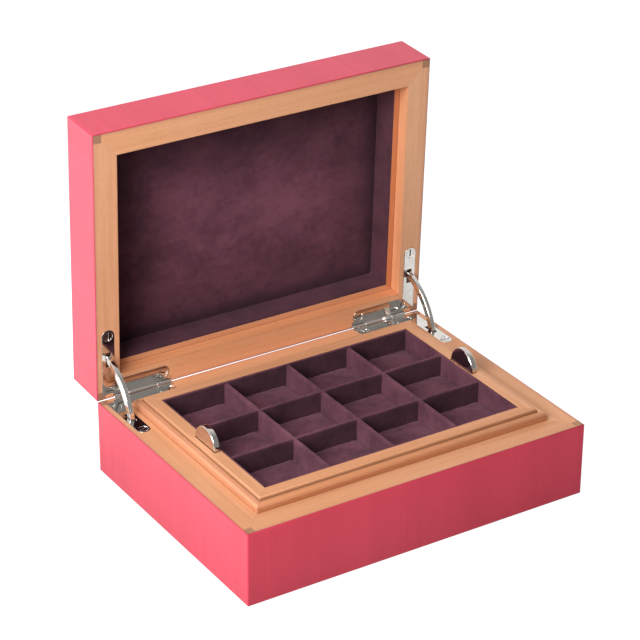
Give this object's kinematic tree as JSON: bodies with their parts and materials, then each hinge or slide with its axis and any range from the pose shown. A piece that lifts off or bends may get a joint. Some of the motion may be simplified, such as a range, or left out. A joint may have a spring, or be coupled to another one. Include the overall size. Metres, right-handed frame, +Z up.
{
  "type": "ring display box",
  "caption": "Rectangular hinged wooden jewellery box in pink veneer, open on curved stay arms, with a suede-lined ring tray divided into cells that lifts out by half-round metal tabs.",
  "frame": {"origin": "centre of the base's felt underside, on the surface that the box stands on", "axes": "+X to the right along the box's length, +Y to the back where the hinges are, +Z up"},
  "size_m": [0.25, 0.2225, 0.2412],
  "materials": {
    "wood": "clear satin on straight-grained hardwood",
    "corner_lipping": "end grain under clear satin",
    "pink_veneer": "dyed pink veneer under satin lacquer",
    "plywood": "bare",
    "suede": "soft aubergine suede",
    "underside_felt": "felt",
    "polished_nickel": "mirror polish",
    "screw_nickel": "polished"
  },
  "bodies": {
    "base": {"base_front_wall": "wood", "base_rear_wall": "wood", "base_left_wall": "wood", "base_right_wall": "wood", "base_corner_posts": "corner_lipping", "base_veneer": "pink_veneer", "base_bottom_board": "plywood", "base_felt": "underside_felt", "lip_front": "wood", "lip_rear": "wood", "lip_left": "wood", "lip_right": "wood", "base_floor_pad": "suede", "base_side_linings": "suede", "tray_ledges": "wood", "base_leaf_left": "polished_nickel", "base_leaf_right": "polished_nickel", "hinge_pin_left": "polished_nickel", "hinge_pin_right": "polished_nickel", "base_leaf_screws": "screw_nickel"},
    "lid": {"lid_front_wall": "wood", "lid_rear_wall": "wood", "lid_left_wall": "wood", "lid_right_wall": "wood", "lid_corner_posts": "corner_lipping", "lid_veneer": "pink_veneer", "lid_top_board": "plywood", "lid_liner_front": "wood", "lid_liner_rear": "wood", "lid_liner_left": "wood", "lid_liner_right": "wood", "lid_ceiling_pad": "suede", "lid_side_linings": "suede", "lid_leaf_left": "polished_nickel", "lid_leaf_right": "polished_nickel", "lid_leaf_screws": "screw_nickel"},
    "tray": {"tray_front_rail": "wood", "tray_rear_rail": "wood", "tray_left_rail": "wood", "tray_right_rail": "wood", "tray_board": "plywood", "tray_side_linings": "suede", "tray_long_dividers": "suede", "tray_cross_dividers": "suede", "tray_cell_pads": "suede", "lift_tab_left": "polished_nickel", "lift_tab_right": "polished_nickel"},
    "stay_arm_left": {"stay_arm_left": "polished_nickel"},
    "stay_arm_right": {"stay_arm_right": "polished_nickel"}
  },
  "joints": [
    {"name": "lid_hinge", "type": "hinge", "parent": "base", "child": "lid", "pos_m": [0, 0.0942, 0.05135], "axis": [1, 0, 0], "range_deg": [0, 87.7]},
    {"name": "stay_arm_left_swing", "type": "hinge", "parent": "base", "child": "stay_arm_left", "pos_m": [-0.1164, 0.0942, 0.05135], "axis": [1, 0, 0], "range_deg": [0, 43.85]},
    {"name": "stay_arm_right_swing", "type": "hinge", "parent": "base", "child": "stay_arm_right", "pos_m": [0.1164, 0.0942, 0.05135], "axis": [1, 0, 0], "range_deg": [0, 43.85]},
    {"name": "tray_lift", "type": "slide", "parent": "base", "child": "tray", "axis": [0, 0, 1], "range_m": [0, 0.0075]}
  ],
  "couplings": [
    {"joint": "stay_arm_left_swing", "follows": "lid_hinge", "ratio": 0.5},
    {"joint": "stay_arm_right_swing", "follows": "lid_hinge", "ratio": 0.5}
  ]
}
